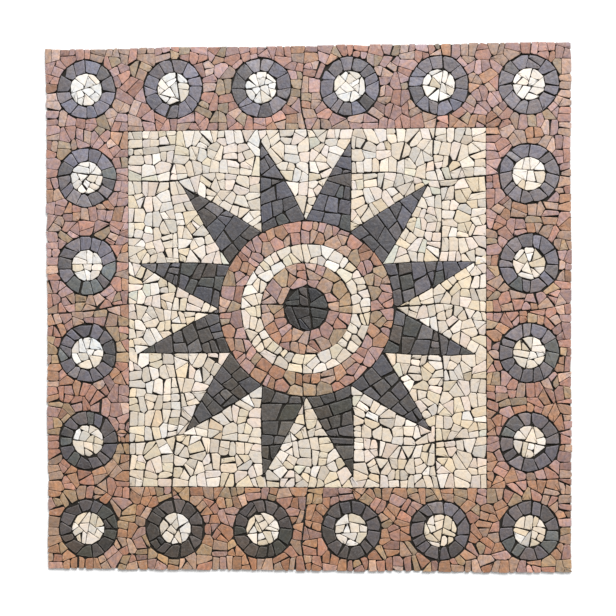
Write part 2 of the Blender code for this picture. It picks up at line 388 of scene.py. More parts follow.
FIT_TURN = 0.01                     # how far the other edges are from true
CORNERS_LOST = 0.52                 # of all corners, knocked away by the hammer
CORNER_LOSS = (1.0 * mm, 4.6 * mm)
CORNER_SLANT = 0.25
CORNER_CUT_AT = 0.7                 # how far into its loss a corner is cut
BLUNT_CORNER = 0.25                 # one that is nearer to straight than this isn't lost
STONE_TURN = 0.03                   # how far a stone is turned in its place, if there is room
TURN_TRIES = 3
RIM_STRAY = 1.5 * mm                # how far the panel's edge strays inwards
RIM_WAVE = 0.062                    # how slowly: this times tau is from one sway to the next
RIM_STEP = 1.6 * mm                 # by how much more one stone there stands back from the next
RIM_STEP_WAVE = 0.0043
RING_STRAY = 3.4 * mm               # how far a ring's edge strays from its circle, half of it outwards
STONE_FOOT = 1.1 * mm
FACE_LEVEL = solids_high.z - 0.05 * mm
FACE_DROP = 0.9 * mm                # of the lowest stone's face below the highest
FACE_DROP_RARE = 1.5                # how much rarer low faces are than high ones
FACE_TILT = 0.038
FACE_HOLLOW = 0.35 * mm             # how far a face may lie below its edges
HOLLOW_ASIDE = 0.3                  # how far that is from its middle towards an edge
EDGE_STEP = 4.2 * mm                # between the points that an edge is made of
EDGE_ROUGHNESS = 0.35 * mm
WALL_LEAN = 0.7 * mm                # how much smaller a stone is at its foot
WALL_LEAN_VARIES = (0.6, 1.2)
ARRIS = (0.40 * mm, 1.05 * mm)      # the width of a stone's rounded edge
ARRIS_VARIES = (0.7, 1.3)           # from one of its points to the next
ARRIS_SOFT = 1.7 * mm               # the width of the strip inside it that dips towards it
ARRIS_TOP = 0.12 * mm               # how far below the face that strip ends
ARRIS_DEPTH = 1.1                   # how many times as deep as wide the rounded edge is
FOOT_WEAR_AND_SHADE = (0.0, 1.0)              # how bruised a stone is at its foot, and how deep in the joints' painted shade
WALL_WEAR_AND_SHADE = (0.8, 0.20)             # the same at the top of its sides
ARRIS_WEAR_AND_SHADE = (1.0, 0.05)            # along its rounded edge
FACE_WEAR_AND_SHADE = (0.0, 0.0)              # and on its face
CHIPS = (0, 1, 1, 2)                # the numbers of chips along a stone's edge
CHIP_WIDTH = (0.5, 1.3)             # in mm, added to the rounded edge
SLIM_STONE = 5 * mm                 # slimmer ones have less worn edges
SAME_STRIP = 0.2                    # of the stones that are broken off the same strip as the one before
BED_REACH = 9                       # in metres, how far from the middle of the rock a stone is cut
DARKEST_STONE = 0.55                # as a share of its kind's colour
PAINTED_LIGHT_WARMTH = (0.025, -0.02)             # the light's colour painted in: how much warmer than their kind stones look at the bottom and top
WARMTH_RIGHT = 0.030                # and how much more so they are at the panel's right edge
WARMTH_VARIES = 0.022
RIGHT_SPARED = 0.75                 # how much less painted shade the panel's bottom gets at its right edge

# Reds at the top of the panel lean to mauve and those at the bottom to orange, partly other strips of marble
# and partly the cool light above and the warm light below painted in: each with its shares there.
RED_VARIES = 0.13
BORDER_SHADE_FADE = (0.92, 0.86, 0.73)    # what is left of red, green and blue where the painted shade is deepest
RED_STONES = [
    ((0.338, 0.180, 0.140), 6, 5),      # brick
    ((0.360, 0.230, 0.213), 9, 2.5),    # mauve pink
    ((0.281, 0.170, 0.154), 4, 3),      # plum brown
    ((0.350, 0.198, 0.128), 1.2, 7.5),  # orange brown
    ((0.332, 0.225, 0.174), 6, 4),      # fawn
    ((0.290, 0.212, 0.146), 2, 2.5),    # olive brown
    ((0.435, 0.302, 0.250), 3.5, 1),    # pale pink
    ((0.390, 0.222, 0.184), 2, 1),      # salmon
    ((0.350, 0.246, 0.158), 0.5, 2.5),  # ochre
    ((0.300, 0.158, 0.104), 0.6, 3),    # rust
]
STONE_MARKS = [
    # what each point of a stone tells its finish: the name, its kind, and what it is set and read as
    ("tone", "FLOAT_COLOR", "color", "Color"),
    ("cut_from", "FLOAT_VECTOR", "vector", "Vector"),
    ("wear", "FLOAT", "value", "Fac"),
    # sunk sets how much of the joints' painted shade a point gets
    ("sunk", "FLOAT", "value", "Fac"),
]

panel_half = solids_high.x


def height_on_panel(place):
    """From 0 at the panel's bottom edge to 1 at its top."""
    return min(1.0, max(0.0, (place.y + panel_half) / (2 * panel_half)))


def rightward(place):
    """From 0 at the panel's middle to 1 at its right edge."""
    return max(0.0, place.x / panel_half)


def painted_shade_at(place):
    """How much painted shade a place gets: most at the panel's bottom, less so on its right."""
    return (1 - height_on_panel(place)) ** 2 * (1 - RIGHT_SPARED * rightward(place))


def between(ends, share):
    return ends[0] + (ends[1] - ends[0]) * share


def sides(outline):
    """The two ends of each side of an outline."""
    return zip(outline, outline[1:] + outline[:1])


def area_and_middle(outline):
    area, middle = 0.0, Vector((0.0, 0.0))
    for a, b in sides(outline):
        cross = (a.x * b.y - b.x * a.y) / 2
        area += cross
        middle += (a + b) * (cross / 3)
    return area, middle / area


def trimmed(outline, point, outward):
    """What is left of a stone's outline behind a straight cut."""
    over = [(corner - point).dot(outward) for corner in outline]
    kept = []
    for k, corner in enumerate(outline):
        after = (k + 1) % len(outline)
        if over[k] <= 0:
            kept.append(corner)
        if over[k] * over[after] < 0:
            kept.append(corner.lerp(outline[after], over[k] / (over[k] - over[after])))
    return tidied(kept)


def tidied(outline):
    """The same outline with one corner where there were several on a spot."""
    kept = []
    for corner in outline:
        if not kept or (corner - kept[-1]).length > GRAIN:
            kept.append(corner)
    if len(kept) > 1 and (kept[0] - kept[-1]).length <= GRAIN:
        kept.pop()
    return kept if len(kept) > 2 else []


def stoutness(outline):
    """From 0 for a splinter to 1 for a square."""
    if not outline:
        return 0.0
    girth = sum((b - a).length for a, b in sides(outline))
    return 16 * area_and_middle(outline)[0] / girth ** 2


def broken(outline, stone_area, rng, blow_turn=BLOW_TURN):
    """A block knocked into stones of about one size, with blows across its longest side.

    Of two blows that it could take, it takes the one that leaves no splinter.
    """
    if len(outline) < 3:
        return []
    area, middle = area_and_middle(outline)
    if area < stone_area * rng.uniform(*STONE_AREA_VARIES):
        return [outline]
    longest = max([b - a for a, b in sides(outline)], key=lambda side: side.length)
    tries = []
    for _ in range(2):
        turn = rng.gauss(0.0, blow_turn)
        if rng.random() < SLANTING_SHARE:
            turn += rng.choice((-SLANTING_TURN, SLANTING_TURN))
        across = Matrix.Rotation(turn, 2) @ longest.normalized()
        point = middle + across * rng.uniform(-BLOW_ASIDE, BLOW_ASIDE) * math.sqrt(area)
        tries.append([trimmed(outline, point, outward) for outward in (across, -across)])
    halves = max(tries, key=lambda pair: min(stoutness(half) for half in pair))
    return [stone for half in halves for stone in broken(half, stone_area, rng, blow_turn)]


def seam_cut(seam, side, on_seam, across):
    """The straight cut along one side of a seam, which opens where the mats' edges don't match."""
    wave = math.sin(on_seam[1 - seam[1]] / SEAM_OPENS + 2.0 * seam[0])
    opening = between(SEAM_HALF, ((1 + wave) / 2) ** 2)
    return on_seam + across * side * opening, across * -side


def seam_cuts(place):
    """The cuts that keep a stone here in its own mat."""
    cuts = []
    for seam in seams:
        side, on_seam, across = seam_side(seam, place)
        if (place - on_seam).length < CUTS_WITHIN:
            cuts.append(seam_cut(seam, side, on_seam, across))
    return cuts


def nearest_on(outline, place):
    """The nearest point to a place on the edge of a straight-sided figure."""
    best = None
    for a, b in sides(outline):
        along = b - a
        share = min(1.0, max(0.0, (place - a).dot(along) / along.length_squared))
        point = a + along * share
        if best is None or (place - point).length < (place - best).length:
            best = point
    return best


def inside(outline, place):
    return all((b - a).cross(place - a) > 0 for a, b in sides(outline))


def cut_against(point, place):
    """The cut that keeps a stone here clear of the nearest point of its neighbour."""
    return point, (point - place).normalized()


def round_line(radius, outward, stray, shift):
    """How far out a hand-drawn circle runs in a direction: it strays inwards and is never quite round."""
    angle = math.atan2(outward.y, outward.x)
    return radius - stray * (2 + math.sin(3 * angle + shift) + math.sin(7 * angle + 2 * shift)) / 4


def square_outline(half):
    return [Vector(corner) for corner in ((-half, -half), (half, -half), (half, half), (-half, half))]


def square_cuts(half):
    """The cuts that keep a stone inside a square."""
    return [(Vector(outward) * half, Vector(outward)) for outward in ((1, 0), (-1, 0), (0, 1), (0, -1))]


def search_tree(places):
    """Places in a form in which the nearest are quickly found."""
    tree = kdtree.KDTree(len(places))
    for number, place in enumerate(places):
        tree.insert((*place, 0.0), number)
    tree.balance()
    return tree


def bare_places(half, is_open, outlines):
    """Places on open ground that no block covers, if any blocks are laid yet."""
    if not outlines:
        return []
    tree = search_tree([area_and_middle(outline)[1] for outline in outlines])
    bare = []
    count = round(2 * half / BARE_STEP)
    for row in range(count):
        for column in range(count):
            place = Vector((column + 0.5, row + 0.5)) * 2 * half / count - Vector((half, half))
            near = tree.find_n((*place, 0.0), NEAR_BLOCKS)
            if any(inside(outlines[number], place) for _, number, _ in near) or not is_open(place):
                continue
            if all((place - other).length > BLOCK_SPACING / 2 for other in bare):
                bare.append(place)
    return bare


def scattered(half, is_open, set_places, rng):
    """Places all over the open ground, about a block apart."""
    count = math.ceil(2 * half / BLOCK_SPACING)
    free_places = []
    for row in range(count):
        for column in range(count):
            x = -half + (column + 0.5 + rng.uniform(-SCATTER, SCATTER)) * 2 * half / count
            y = -half + (row + 0.5 + rng.uniform(-SCATTER, SCATTER)) * 2 * half / count
            place = Vector((x, y))
            if is_open(place) and all((place - other).length > SET_APART for other in set_places):
                free_places.append(place)
    return free_places


def settled_blocks(half, is_open, cuts_at, set_places, free_places, settlings=SETTLINGS):
    """Blocks that fill a field, each the ground nearer to its own place than to any other.

    The set places stay where they are, and the others settle to even out the blocks.
    """
    outlines = []
    for _ in range(settlings):
        places = set_places + free_places + bare_places(half, is_open, outlines)
        tree = search_tree(places)
        mats = [mat_of(place) for place in places]
        outlines, free_places = [], []
        for number, place in enumerate(places):
            outline = [corner + place for corner in square_outline(BLOCK_REACH)]
            for _, other, distance in tree.find_range((*place, 0.0), NEIGHBOURS_WITHIN):
                if other == number or mats[other] != mats[number]:
                    continue
                on_the_way = [place.lerp(places[other], share) for share in WAY_POINTS]
                if not all(is_open(point) for point in on_the_way):
                    continue
                halfway = (place + places[other]) / 2
                outline = trimmed(outline, halfway, (places[other] - place) / distance)
            for point, outward in cuts_at(place):
                outline = trimmed(outline, point + outward * BLOCK_SLACK, outward)
            if len(outline) > 2 and area_and_middle(outline)[0] > SMALLEST_STONE:
                outlines.append(outline)
                if number >= len(set_places):
                    free_places.append(area_and_middle(outline)[1])
    return outlines


def fitted(outline, joint_half, rng):
    """A stone as it sits in its place: set back by its joints, with lost corners, and a little askew."""
    cell = outline
    open_here = between(JOINTS_OPEN, height_on_panel(cell[0]))
    for a, b in sides(cell):
        outward = -left_of(b - a).normalized()
        slant = abs(rng.gauss(0.0, MISFIT_TURN if rng.random() < MISFIT_SHARE * open_here else FIT_TURN))
        slant = min(slant, MISFIT_MOST)
        corner, slant = rng.choice(((a, slant), (b, -slant)))
        outward_there = Matrix.Rotation(slant, 2) @ outward
        setback = open_here * rng.uniform(*joint_half)
        outline = trimmed(outline, corner - outward * setback, outward_there)
        if not outline:
            return []
    for before, corner, after in zip(outline[-1:] + outline[:-1], outline, outline[1:] + outline[:1]):
        opening = (before - corner).normalized() + (after - corner).normalized()
        if rng.random() > CORNERS_LOST or opening.length < BLUNT_CORNER:
            continue
        inward = opening.normalized()
        loss = rng.uniform(*CORNER_LOSS) * min(1.0, opening.length)
        slant = Matrix.Rotation(rng.gauss(0.0, CORNER_SLANT), 2)
        outline = trimmed(outline, corner + inward * loss * CORNER_CUT_AT, slant @ -inward)
        if not outline:
            return []
    middle = area_and_middle(outline)[1]
    for _ in range(TURN_TRIES):
        turn = Matrix.Rotation(rng.gauss(0.0, STONE_TURN), 2)
        turned = [middle + turn @ (corner - middle) for corner in outline]
        if all(inside(cell, corner) for corner in turned):
            return turned
    return outline


class Shards:
    """The mesh of one group of stones, as it grows.

    Its marble is the colours of stones with their shares at the top and the bottom of the panel, how far one
    stone's lightness varies, what is left of its colour where the painted shade is deepest, the finish and
    the material slot.
    """

    def __init__(self, seed, marble, joint_half=JOINT_HALF):
        self.rng = random.Random(seed)
        self.stones, self.varies, self.fade, self.finish, self.slot = marble
        self.joint_half = joint_half
        self.colour = None
        self.verts, self.faces, self.backs, self.smooth = [], [], [], []
        self.marks = {mark: [] for mark, *_ in STONE_MARKS}

    def pick_tone(self, place):
        """A stone's colour: at times off the same strip as the last, or else by the shares here, darkened by
        the painted shade and tinted by the light's painted colour at its place.
        """
        rng, height = self.rng, height_on_panel(place)
        if self.colour is None or rng.random() > SAME_STRIP:
            shares = [between((bottom, top), height) for _, top, bottom in self.stones]
            self.colour = rng.choices([stone[0] for stone in self.stones], shares)[0]
        light = max(DARKEST_STONE, rng.gauss(1.0, self.varies))
        warm = rng.gauss(between(PAINTED_LIGHT_WARMTH, height) + WARMTH_RIGHT * rightward(place), WARMTH_VARIES)
        faded = [between((1.0, darkest), painted_shade_at(place)) for darkest in self.fade]
        tints = (1 + warm, 1.0, 1 - warm)
        return *(part * light * tint * fade for part, tint, fade in zip(self.colour, tints, faded)), 1.0

    def add(self, outline):
        """Lays a stone, if enough of it is left when it has been fitted."""
        rng = self.rng
        outline = fitted(outline, self.joint_half, rng)
        if len(outline) < 3:
            return
        area, middle = area_and_middle(outline)
        if area < SMALLEST_STONE:
            return
        tone = self.pick_tone(middle)
        around = []
        for a, b in sides(outline):
            steps = max(1, round((b - a).length / EDGE_STEP))
            around += [a.lerp(b, k / steps) for k in range(steps)]
        count = len(around)
        inward = [left_of((around[(k + 1) % count] - around[k - 1]).normalized()) for k in range(count)]
        girth = sum((around[k] - around[k - 1]).length for k in range(count))
        room = min(1.0, 2 * area / girth / SLIM_STONE)
        around = [p + n * rng.uniform(0.0, EDGE_ROUGHNESS) for p, n in zip(around, inward)]
        arris = rng.uniform(*ARRIS) * room
        widths = [arris * rng.uniform(*ARRIS_VARIES) for _ in range(count)]
        for _ in range(rng.choice(CHIPS)):
            widths[rng.randrange(count)] += rng.uniform(*CHIP_WIDTH) * mm * room
        lean = WALL_LEAN * rng.uniform(*WALL_LEAN_VARIES) * room
        tilt = Vector((rng.gauss(0.0, FACE_TILT), rng.gauss(0.0, FACE_TILT)))
        level = FACE_LEVEL - FACE_DROP * rng.random() ** FACE_DROP_RARE
        level -= max(tilt.dot(p - middle) for p in around)
        axis = Vector((rng.gauss(0.0, 1.0), rng.gauss(0.0, 1.0), 1.0))
        turn = Matrix.Rotation(rng.uniform(0.0, math.tau), 3, axis)
        shift = Vector([rng.uniform(-BED_REACH, BED_REACH) for _ in range(3)])

        def put(p, z, worn, sunk):
            """One point of the stone, with how bruised it is there and how deep in the joints' painted
            shade.
            """
            self.verts.append((p.x, p.y, z))
            self.marks["tone"].extend(tone)
            self.marks["cut_from"].extend(turn @ Vector((p.x, p.y, z)) + shift)
            self.marks["wear"].append(worn)
            self.marks["sunk"].append(sunk)

        first = len(self.verts)
        faces = [level + tilt.dot(p - middle) for p in around]
        for p, n in zip(around, inward):
            put(p + n * lean, STONE_FOOT, *FOOT_WEAR_AND_SHADE)
        for p, width, face in zip(around, widths, faces):
            put(p, face - width * ARRIS_DEPTH, *WALL_WEAR_AND_SHADE)
        for p, n, width, face in zip(around, inward, widths, faces):
            put(p + n * width, face - ARRIS_TOP, *ARRIS_WEAR_AND_SHADE)
        for p, n, width, face in zip(around, inward, widths, faces):
            put(p + n * (width + ARRIS_SOFT * room), face, *FACE_WEAR_AND_SHADE)
        hollow = middle.lerp(rng.choice(around), HOLLOW_ASIDE)
        put(hollow, level - rng.uniform(0.0, FACE_HOLLOW) * room, *FACE_WEAR_AND_SHADE)
        for ring in range(3):
            low, high = first + ring * count, first + (ring + 1) * count
            for k in range(count):
                after = (k + 1) % count
                self.face((low + k, low + after, high + after, high + k), 0, ring > 0)
        top = first + 3 * count
        for k in range(count):
            self.face((top + k, top + (k + 1) % count, top + count), 0, True)
        self.face(tuple(first + k for k in reversed(range(count))), 1, False)

    def face(self, corners, back, smooth):
        self.faces.append(corners)
        self.backs.append(back)
        self.smooth.append(smooth)

    def lay_blocks(self, blocks, stone_area, is_open, cuts_at):
        """Breaks blocks into stones, and lays each one trimmed to the lines of the pattern beside it."""
        for block in blocks:
            for stone in broken(block, stone_area, self.rng):
                middle = area_and_middle(stone)[1]
                if not is_open(middle) or mat_of(middle) != mat_of(area_and_middle(block)[1]):
                    continue
                for point, outward in cuts_at(middle):
                    stone = trimmed(stone, point, outward)
                if stone:
                    self.add(stone)

    def lay_field(self, half, is_open, cuts_at, set_places):
        """Fills the open ground of a square with stones."""
        loose = scattered(half, is_open, set_places, self.rng)
        blocks = settled_blocks(half, is_open, cuts_at, set_places, loose)
        self.lay_blocks(blocks, STONE_AREA, is_open, cuts_at)

    def put_down(self, name, node):
        """The finished group, in place of the node that stood for it."""
        piece = new_piece(name, self.verts, self.faces, [self.finish, back_finish])
        mesh = piece.data
        mesh.polygons.foreach_set("material_index", self.backs)
        mesh.polygons.foreach_set("use_smooth", self.smooth)
        for mark, kind, set_as, _ in STONE_MARKS:
            mesh.attributes.new(mark, kind, "POINT").data.foreach_set(set_as, self.marks[mark])
        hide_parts(node)


# Marble as it breaks: clouded and flecked, a few veins, and paler and rougher where an edge is bruised, that
# paleness also a painted highlight. Towards its foot a stone is blended into the joints' painted shade.
COOL_DRIFT = (0.90, 0.96, 1.07, 1.0)   # how a stone's colour shifts from one end to the other
WARM_DRIFT = (1.11, 1.03, 0.91, 1.0)
marble, given, taken = effect(
    "broken marble",
    tone=(0.5, 0.5, 0.5, 1.0), cut_from=(0.0, 0.0, 0.0), wear=0.0, sunk=0.0, grime=(*FILM_SHADE_BROWN, 1.0),
    cloud_depth=0.3, fleck_colour=(0.8, 0.7, 0.6, 1.0), fleck_share=0.3, vein_colour=(0.8, 0.8, 0.8, 1.0),
    vein_share=0.3, bruise=0.35, dullness=0.6, lumps=3.0, drift=0.5,
)
place = given["Cut From"]
bed = marble.nodes.new("ShaderNodeMapping")
bed.inputs["Scale"].default_value = (1.0, 0.32, 1.0)
wire(marble, place, bed.inputs["Vector"])
clouds = cloud(marble, bed.outputs["Vector"], 210.0, 4.0, 0.4)
grit = cloud(marble, place, 1900.0, 2.0)
off_middle = arithmetic(marble, "SUBTRACT", clouds, 0.5)
shade = arithmetic(marble, "MULTIPLY_ADD", off_middle, given["Cloud Depth"], 1.0)
shade = product(marble, shade, spread(marble, grit, 0.2, 0.8, 0.93, 1.07))
body = scaled_colour(marble, given["Tone"], shade)
drift = spread(marble, cloud(marble, place, 95.0, 3.0), 0.36, 0.64)
body = blended(marble, given["Drift"], body, blended(marble, drift, COOL_DRIFT, WARM_DRIFT), "MULTIPLY")
flecks = spread(marble, cloud(marble, place, 620.0, 3.0, 0.3), 0.60, 0.72)
body = blended(marble, product(marble, flecks, given["Fleck Share"]), body, given["Fleck Colour"])
off_line = arithmetic(marble, "SUBTRACT", cloud(marble, place, 62.0, 3.0, 0.8), 0.5)
veins = spread(marble, arithmetic(marble, "ABSOLUTE", off_line), 0.0, 0.014, 1.0, 0.0)
broken_up = spread(marble, cloud(marble, place, 40.0, 1.0), 0.45, 0.62)
veins = product(marble, product(marble, veins, broken_up), given["Vein Share"])
body = blended(marble, veins, body, given["Vein Colour"])
patchy = spread(marble, cloud(marble, place, 480.0, 2.0), 0.35, 0.6)
# Painted highlight: a worn edge is mixed towards a paler colour, partly the marble's real bruising and
# partly the light caught by its rounded edge.
bruise_and_highlight_share = product(marble, product(marble, given["Wear"], given["Bruise"]), patchy)
pale = blended(marble, 1.0, scaled_colour(marble, body, 1.25), (0.05, 0.05, 0.05, 1.0), "ADD")
# Painted shade: down a stone's sides its colour is blended into the near black of the joints.
painted_shade_share = spread(marble, given["Sunk"], 0.04, 0.75, 0.0, 0.96)
wire(marble, blended(marble, painted_shade_share, blended(marble, bruise_and_highlight_share, body, pale), given["Grime"]), taken["Colour"])
rough = arithmetic(marble, "MULTIPLY_ADD", clouds, 0.16, given["Dullness"])
wire(marble, arithmetic(marble, "MULTIPLY_ADD", given["Wear"], 0.14, rough, clamp=True), taken["Roughness"])
pits = spread(marble, cloud(marble, place, 850.0, 2.0), 0.30, 0.42, -1.0, 0.0)
relief = arithmetic(marble, "MULTIPLY_ADD", grit, 0.35, product(marble, clouds, 0.5))
relief = arithmetic(marble, "MULTIPLY_ADD", pits, 0.5, relief)
rugged = product(marble, cloud(marble, place, 700.0, 3.0), given["Wear"])
relief = arithmetic(marble, "MULTIPLY_ADD", rugged, 1.6, relief)
lumps = cloud(marble, place, 130.0, 2.0)
wire(marble, arithmetic(marble, "MULTIPLY_ADD", lumps, given["Lumps"], relief), taken["Height"])


def attribute(tree, name, read_as):
    node = tree.nodes.new("ShaderNodeAttribute")
    node.attribute_name = name
    return node.outputs[read_as]


def marble_finish(name, relief_depth, shine, **settings):
    """Broken marble with this kind's own colours and wear."""
    material, tree, inputs = finish(name)
    for mark, _, _, read_as in STONE_MARKS:
        settings[mark] = attribute(tree, mark, read_as)
    with_effect(tree, inputs, marble, relief_depth, **settings)
    inputs["Specular IOR Level"].default_value = shine
    return material


red_finish = marble_finish(
    "red marble", 0.14 * mm, 0.45,
    cloud_depth=1.25, fleck_colour=(0.52, 0.40, 0.32, 1.0), fleck_share=0.35,
    vein_colour=(0.58, 0.47, 0.39, 1.0), vein_share=0.45, bruise=0.60, dullness=0.50, lumps=9.0,
    drift=0.9,
)
RED_MARBLE = (RED_STONES, RED_VARIES, BORDER_SHADE_FADE, red_finish, "red_marble")

# The backs of the stones are sawn, and smeared with the glue that holds them to the net.
back_finish, tree, inputs = finish("glued backs of stones")
stone_tone = attribute(tree, "tone", "Color")
saw_marks = cloud(tree, attribute(tree, "cut_from", "Vector"), 400.0, 3.0)
sawn = scaled_colour(tree, stone_tone, spread(tree, saw_marks, 0.2, 0.8, 0.75, 1.0))
with_effect(tree, inputs, smears, 0.2 * mm, place=object_place(tree), under=sawn, cover=0.40)

ring_boxes = [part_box(f"roundel_ring_{number:02d}") for number in range(1, 21)]
ring_middles = [Vector(((low.x + high.x) / 2, (low.y + high.y) / 2)) for low, high in ring_boxes]
ring_radius = (ring_boxes[0][1].x - ring_boxes[0][0].x) / 2
field_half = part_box("cream_field")[1].x


def rim_cuts(place):
    """The cuts that keep a border stone on the panel, whose hand-laid edge strays inwards."""
    cuts = []
    for number, (point, outward) in enumerate(square_cuts(panel_half)):
        along = place.cross(outward)
        stray = RIM_STRAY * (1 + math.sin(along / RIM_WAVE + 1.7 * number)) / 2
        stray += RIM_STEP * (1 + math.sin(along / RIM_STEP_WAVE + 2.3 * number)) / 2
        cuts.append((point - outward * stray, outward))
    return cuts


def ring_line(number, outward):
    """How far out the edge of one of the rings runs in a direction."""
    return round_line(ring_radius + RING_STRAY / 2, outward, RING_STRAY, 1.9 * number)


def border_is_open(place):
    if max(abs(place.x), abs(place.y)) < field_half + OPEN_FROM:
        return False
    return all((place - middle).length > ring_radius + OPEN_FROM for middle in ring_middles)


def border_cuts(place):
    cuts = rim_cuts(place) + seam_cuts(place)
    cuts.append(cut_against(nearest_on(square_outline(field_half), place), place))
    for number, middle in enumerate(ring_middles):
        if (place - middle).length < ring_radius + CUTS_WITHIN:
            outward = (place - middle).normalized()
            cuts.append(cut_against(middle + outward * ring_line(number, outward), place))
    return cuts


# Blocks that meet at the corners of the cream field, with joints along its sides' lines.
corner_places = []
for x in (-1, 1):
    for y in (-1, 1):
        aside = BLOCK_SPACING * JOINT_ASIDE
        beyond, within = field_half + aside, field_half - aside
        for out_x, out_y in ((beyond, beyond), (beyond, within), (within, beyond)):
            corner_places.append(Vector((x * out_x, y * out_y)))

border = Shards(11, RED_MARBLE)
border.lay_field(panel_half, border_is_open, border_cuts, corner_places)
border.put_down("border_stones", "border_field")


# The rings of the roundels.
# Dark slaty stones are cut to blunt wedges and set round a drawn circle, one stone deep. Where a ring lies
# over the seam between two mats, a joint runs along the seam.

RING_STONE_LENGTH = 26 * mm
RING_STONE_SKEW = 0.12
RING_STEP = 1.3 * mm                # by which one stone's outer edge may stand back from the next
RING_BROKEN = 0.06                  # of the stones that are broken in two
WIDE_WEDGE = 0.42                   # from this angle on, a stone's outer edge is cut in two straight lines
WEDGE_BEND = (0.4, 0.6)             # where the two meet, as a share of the angle
SEAM_CROSSES = 0.6                  # a seam farther aside than this share of the radius has no joint
COUNT_VARIES = 0.45                 # the stones between two seams, more or fewer
JOINT_STRAY = 0.25                  # how far a joint lies from its even place, as a share of a stone
FIRST_JOINT = (0.5, 0.5)            # of a ring that no seam crosses
DARK_JOINT_HALF = (0.25 * mm, 0.85 * mm)
EYE_SCALE = 1.04
EYE_SCALE_VARIES = 0.022
DARK_VARIES = 0.19
# Painted shade: the ring stones are darkened strongly towards the panel's bottom.
DARK_SHADE_FADE = (0.31, 0.26, 0.165)
DARK_RING_STONES = [
    ((0.146, 0.134, 0.160), 8, 8),  # slate blue
    ((0.132, 0.118, 0.128), 5, 5),  # slate
    ((0.168, 0.146, 0.158), 4, 4),  # grey violet
    ((0.102, 0.092, 0.094), 2, 3),  # charcoal
    ((0.218, 0.194, 0.204), 2, 1),  # pale slate
    ((0.120, 0.128, 0.128), 0, 5),  # blue green
]
eye_low, eye_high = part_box("roundel_eye_01")
eye_radius = (eye_high.x - eye_low.x) / 2
rng = random.Random(200)
eye_radii = [eye_radius * rng.gauss(EYE_SCALE, EYE_SCALE_VARIES) for _ in ring_middles]

# Its strong bruise makes pale edges that are partly painted highlight.
dark_finish = marble_finish(
    "dark slaty marble", 0.12 * mm, 0.55,
    cloud_depth=1.30, fleck_colour=(0.20, 0.20, 0.21, 1.0), fleck_share=0.30,
    vein_colour=(0.28, 0.27, 0.26, 1.0), vein_share=0.30, bruise=1.00, dullness=0.42, lumps=12.0,
    drift=0.6,
)
RING_MARBLE = (DARK_RING_STONES, DARK_VARIES, DARK_SHADE_FADE, dark_finish, "dark_marble")


def on_circle(middle, radius, angle):
    return middle + Vector((math.cos(angle), math.sin(angle))) * radius


def seam_joints(middle, inner, outer):
    """Where the seams between mats cross a ring: the angle at its inner and its outer edge."""
    joints = []
    for seam in seams:
        axis = seam[1]
        for way in (-1, 1):
            pair = []
            for radius in (inner, outer):
                place = middle.copy()
                place[1 - axis] += way * radius
                aside = seam_side(seam, place)[1][axis] - middle[axis]
                if abs(aside) < SEAM_CROSSES * inner:
                    along = way * math.sqrt(radius * radius - aside * aside)
                    pair.append(math.atan2(along, aside) if axis == 0 else math.atan2(aside, along))
            if len(pair) == 2:
                start = pair[0] % math.tau
                joints.append((start, start + (pair[1] - pair[0] + math.pi) % math.tau - math.pi))
    return sorted(joints)


def joints_between(start, end, radius, rng):
    """Joints spaced by eye from one to another, each as its angle at the inner and at the outer edge."""
    turn = end[0] - start[0]
    count = max(1, round(turn * radius / RING_STONE_LENGTH + rng.uniform(-COUNT_VARIES, COUNT_VARIES)))
    joints = [start]
    for k in range(1, count):
        share = (k + rng.uniform(-JOINT_STRAY, JOINT_STRAY)) / count
        lean = rng.gauss(0.0, RING_STONE_SKEW) * turn / count
        joints.append((start[0] + turn * share - lean, start[1] + (end[1] - start[1]) * share + lean))
    return joints + [end]


def round_joints(middle, inner, outer, rng):
    """The joints round a ring: along each seam that crosses it, and evenly between."""
    fixed = seam_joints(middle, inner, outer) or [FIRST_JOINT]
    fixed.append(tuple(angle + math.tau for angle in fixed[0]))
    joints = fixed[:1]
    for start, end in zip(fixed, fixed[1:]):
        joints += joints_between(start, end, (inner + outer) / 2, rng)[1:]
    return joints


def wedges(number, inner, joints, rng):
    """The stones between joints round a ring, cut straight on the inside and nearly so on the outside."""
    middle = ring_middles[number]
    outlines = []
    for (in_start, out_start), (in_end, out_end) in zip(joints, joints[1:]):
        inside_radius = inner / math.cos((in_end - in_start) / 2)
        outline = [on_circle(middle, inside_radius, in_end), on_circle(middle, inside_radius, in_start)]
        angles = [out_start, out_end]
        if out_end - out_start > WIDE_WEDGE:
            angles.insert(1, out_start + (out_end - out_start) * rng.uniform(*WEDGE_BEND))
        step = rng.uniform(0.0, RING_STEP)
        for angle in angles:
            outward = Vector((math.cos(angle), math.sin(angle)))
            outline.append(middle + outward * (ring_line(number, outward) - step))
        outlines.append(outline)
    return outlines


def in_its_mat(outline):
    """The part of a stone on its own side of each seam."""
    for point, outward in seam_cuts(area_and_middle(outline)[1]):
        outline = trimmed(outline, point, outward)
        if not outline:
            return []
    return outline


def at_times_broken(outline, share, rng):
    """A cut stone as it is laid, which for this share of them is in pieces."""
    if rng.random() < share:
        return broken(outline, STONE_AREA, rng)
    return [outline] if outline else []


for number, middle in enumerate(ring_middles):
    ring = Shards(201 + number, RING_MARBLE, DARK_JOINT_HALF)
    joints = round_joints(middle, eye_radii[number], ring_radius, ring.rng)
    for outline in wedges(number, eye_radii[number], joints, ring.rng):
        for stone in at_times_broken(in_its_mat(outline), RING_BROKEN, ring.rng):
            ring.add(stone)
    ring.put_down(f"ring_{number + 1:02d}_stones", f"roundel_ring_{number + 1:02d}")


# The eyes of the roundels.
# The middle of each ring is filled with cream marble, one lump trimmed round and broken into shards that
# are then glued a joint apart.

